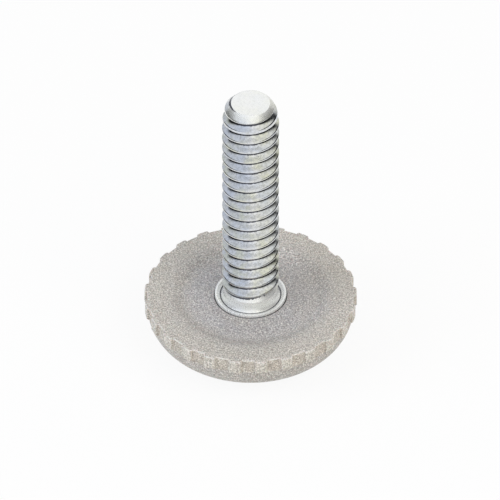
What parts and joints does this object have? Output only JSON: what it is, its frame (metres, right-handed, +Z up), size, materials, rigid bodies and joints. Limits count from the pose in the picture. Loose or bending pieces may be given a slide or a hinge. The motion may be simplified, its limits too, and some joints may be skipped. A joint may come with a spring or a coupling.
{
  "type": "levelling foot",
  "caption": "Levelling foot for furniture: a zinc plated steel stud with a right-hand thread, moulded into a round plastic base with a toothed rim and a bowl-shaped underside.",
  "frame": {"origin": "middle of the flat that stands on the floor, on the axis of the stud", "axes": "+Z up along the stud to its tip, +X and +Y level, with the picture taken from the side of -Y"},
  "size_m": [0.018, 0.018, 0.0263],
  "materials": {
    "grey_nylon": "moulded nylon, warm grey, fine grain",
    "zinc_plated_steel": "bright zinc plate on a rolled thread"
  },
  "bodies": {
    "root": {"moulded_base": "grey_nylon", "threaded_stud": "zinc_plated_steel"}
  },
  "joints": []
}
